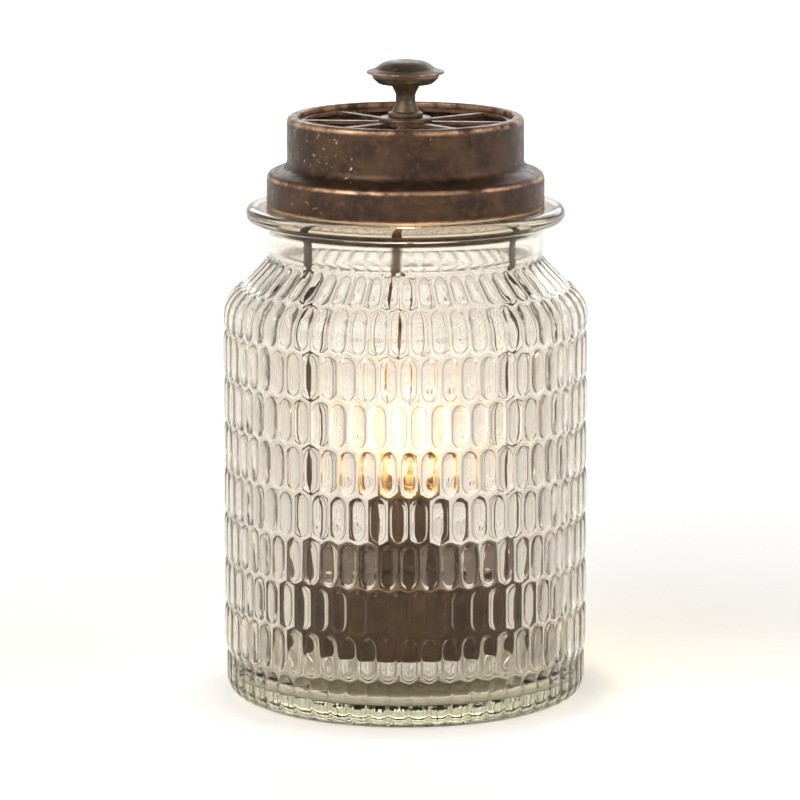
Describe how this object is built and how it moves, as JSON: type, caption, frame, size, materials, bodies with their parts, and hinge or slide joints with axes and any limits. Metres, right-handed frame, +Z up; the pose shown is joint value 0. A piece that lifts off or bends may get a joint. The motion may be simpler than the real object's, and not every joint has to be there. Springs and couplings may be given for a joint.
{
  "type": "mason jar lantern",
  "caption": "Pressed-glass jar lantern with an oval lens pattern, a vented aged-bronze lid with a knob, and a battery light that hangs inside from straps.",
  "frame": {"origin": "centre of the jar's foot, on the surface that it stands on", "axes": "+Z up along the jar's axis, -Y towards the front"},
  "size_m": [0.14, 0.14, 0.2469],
  "materials": {
    "jar_glass": "clear pressed glass, faintly yellow-green where it is thick",
    "aged_bronze": "antique bronze with worn copper edges",
    "knob_bronze": "antique bronze, darker, with worn edges",
    "dark_bronze": "dark bronze lacquer",
    "rivet_steel": "plated steel",
    "silicone": "translucent silicone",
    "foam": "black foam",
    "black_plastic": "moulded, fine grain",
    "switch_plastic": "light grey, moulded",
    "holder_plastic": "brown phenolic",
    "contact_metal": "plated spring brass",
    "cap_brass": "bright rolled brass",
    "board_green": "solder-masked board",
    "chip_black": "moulded chip",
    "cell_sleeve": "shrink sleeve, plain",
    "cap_glass": "black cap glass",
    "bulb_glass": "clear, thin",
    "lit_filament": "lit, warm white",
    "support_wire": "nickel wire",
    "lead_red": "insulated wire",
    "lead_black": "insulated wire"
  },
  "bodies": {
    "jar": {"glass_jar": "jar_glass"},
    "lid": {"lid_shell": "aged_bronze", "vent_grille": "aged_bronze", "seat_ring": "aged_bronze", "knob_hub_plate": "knob_bronze", "knob_stem": "knob_bronze", "knob_dish": "knob_bronze", "knob_cap": "knob_bronze", "strap_back": "dark_bronze", "strap_front_left": "dark_bronze", "strap_front_right": "dark_bronze", "battery_housing": "dark_bronze", "lamp_holder": "dark_bronze", "strap_rivets_top": "rivet_steel", "strap_rivets_bottom": "rivet_steel", "base_plate_screws": "rivet_steel", "board_screws": "rivet_steel", "knob_lock_washer": "rivet_steel", "knob_nut": "rivet_steel", "holder_lock_ring": "rivet_steel", "rim_gasket": "silicone", "base_plate": "black_plastic", "battery_tray": "black_plastic", "switch_case": "black_plastic", "holder_insulator": "holder_plastic", "flat_contacts": "contact_metal", "spring_contacts": "contact_metal", "holder_thread_shell": "contact_metal", "holder_centre_contact": "contact_metal", "circuit_board": "board_green", "driver_chip": "chip_black", "battery_left": "cell_sleeve", "battery_middle": "cell_sleeve", "battery_right": "cell_sleeve", "lead_positive": "lead_red", "lead_negative": "lead_black"},
    "bulb": {"bulb_cap": "cap_brass", "bulb_cap_insulator": "cap_glass", "bulb_tip_contact": "contact_metal", "bulb_globe": "bulb_glass", "bulb_stem": "bulb_glass", "bulb_filament": "lit_filament", "bulb_support_wires": "support_wire"},
    "cover": {"battery_cover": "black_plastic", "cover_pad": "foam"},
    "slider": {"switch_slider": "switch_plastic"}
  },
  "joints": [
    {"name": "lid_lift", "type": "slide", "parent": "jar", "child": "lid", "axis": [0, 0, 1], "range_m": [0, 0.18]},
    {"name": "bulb_turn", "type": "hinge", "parent": "lid", "child": "bulb", "pos_m": [0, 0, 0.07], "axis": [0, 0, 1], "range_deg": [0, 720]},
    {"name": "cover_turn", "type": "hinge", "parent": "lid", "child": "cover", "pos_m": [0, 0, 0.0225], "axis": [0, 0, 1], "range_deg": [0, 30]},
    {"name": "switch_slide", "type": "slide", "parent": "lid", "child": "slider", "axis": [0.866, 0.5, 0], "range_m": [0, 0.0025]}
  ]
}
